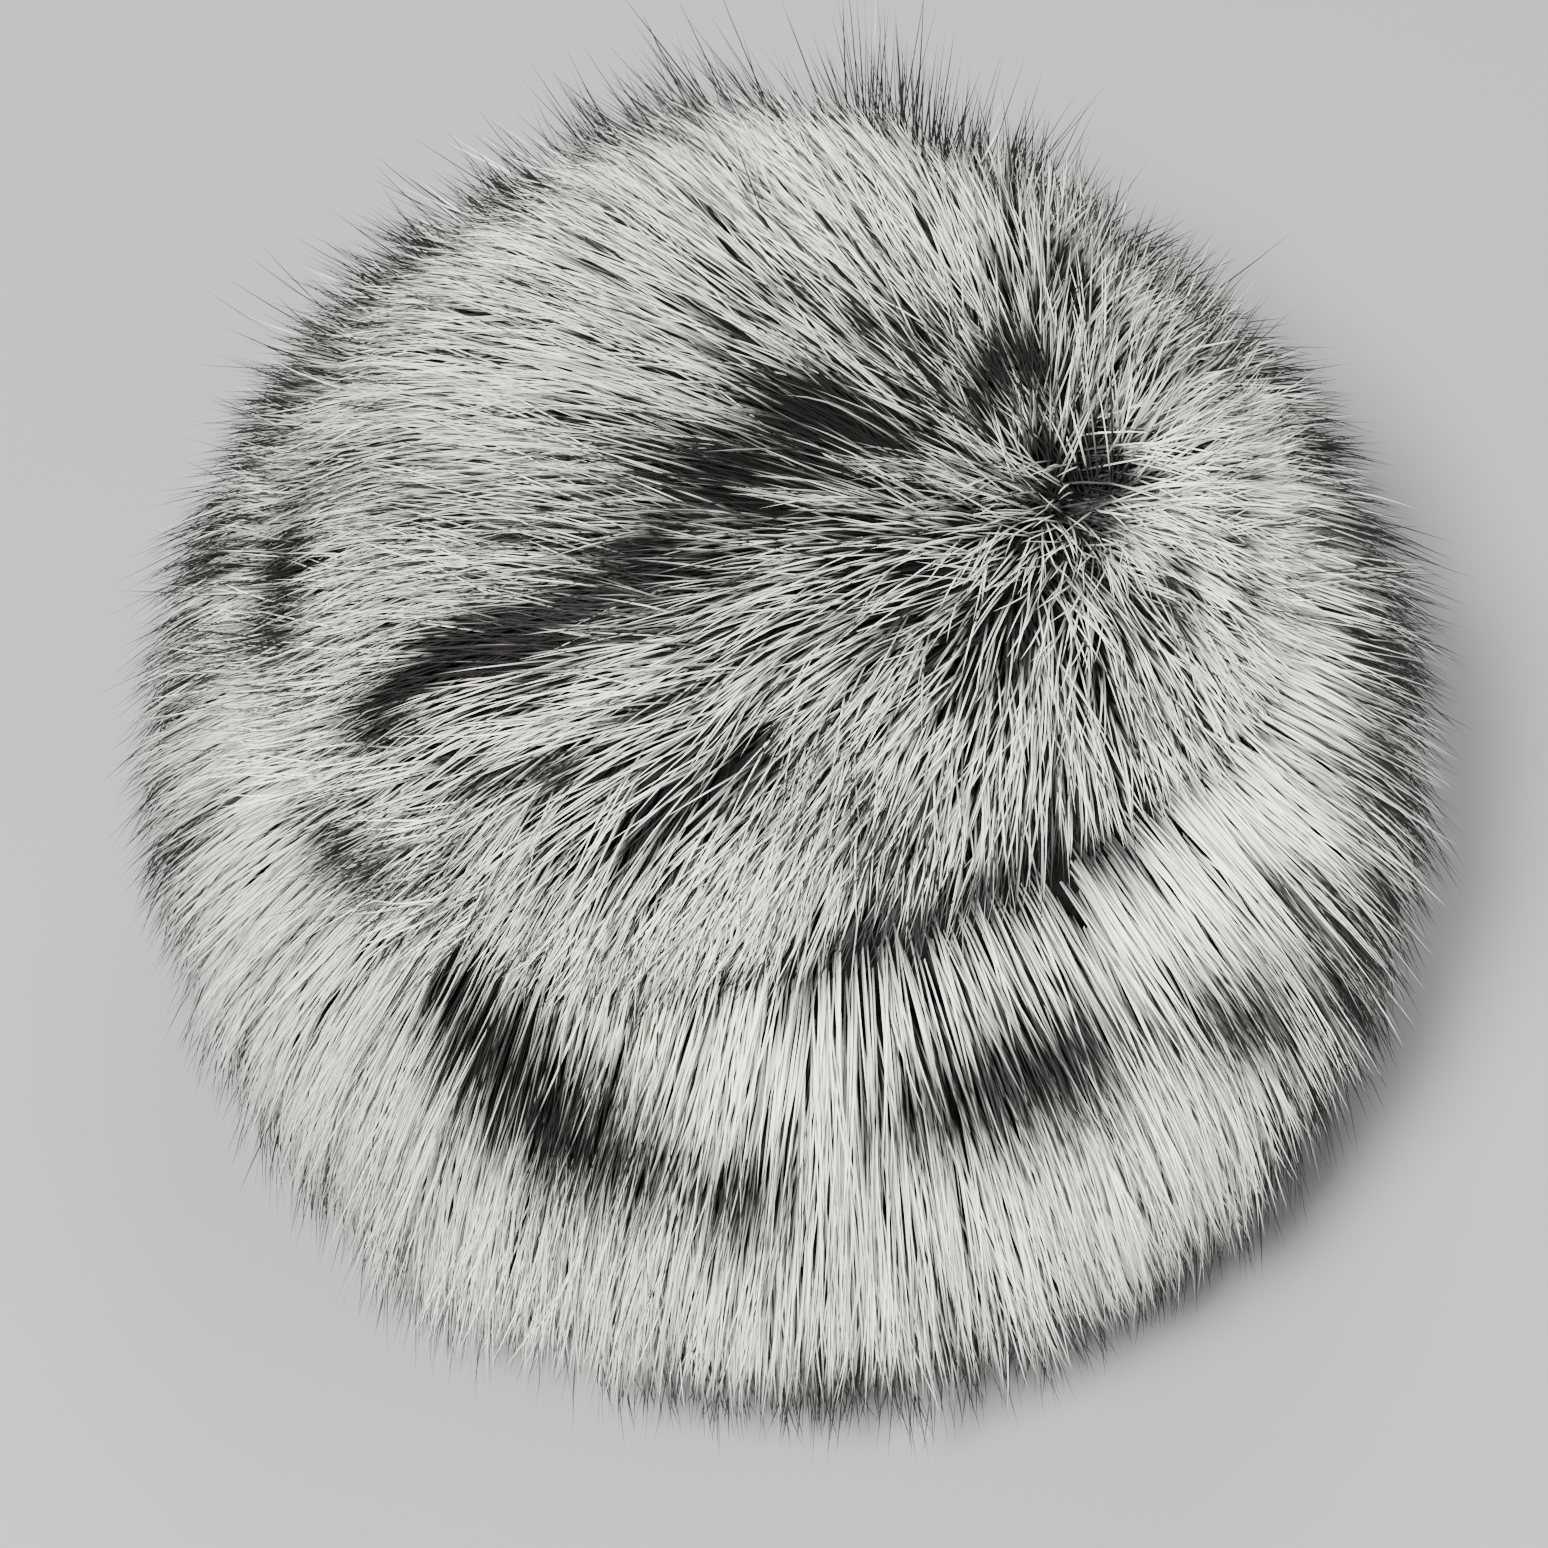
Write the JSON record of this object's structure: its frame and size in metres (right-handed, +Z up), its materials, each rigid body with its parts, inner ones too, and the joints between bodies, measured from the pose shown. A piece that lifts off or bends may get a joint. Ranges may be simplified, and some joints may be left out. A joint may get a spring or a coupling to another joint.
{
  "type": "fur hat",
  "caption": "Round long-haired grey fur hat with a low crown combed from one whorl, a deep fur side band and an open head hollow.",
  "frame": {"origin": "middle of the hat's box, on the surface that its rim rests on", "axes": "+Z up through the crown, +Y from the picture's near side to its far side along the head's long axis, +X to the picture's right"},
  "size_m": [0.2962, 0.3226, 0.1808],
  "materials": {
    "hide": "matt suede",
    "band_fur": "soft long hair",
    "crown_fur": "soft long hair"
  },
  "bodies": {
    "root": {"band_hide": "hide", "crown_hide": "hide", "band_fur": "band_fur", "crown_fur": "crown_fur"}
  },
  "joints": []
}
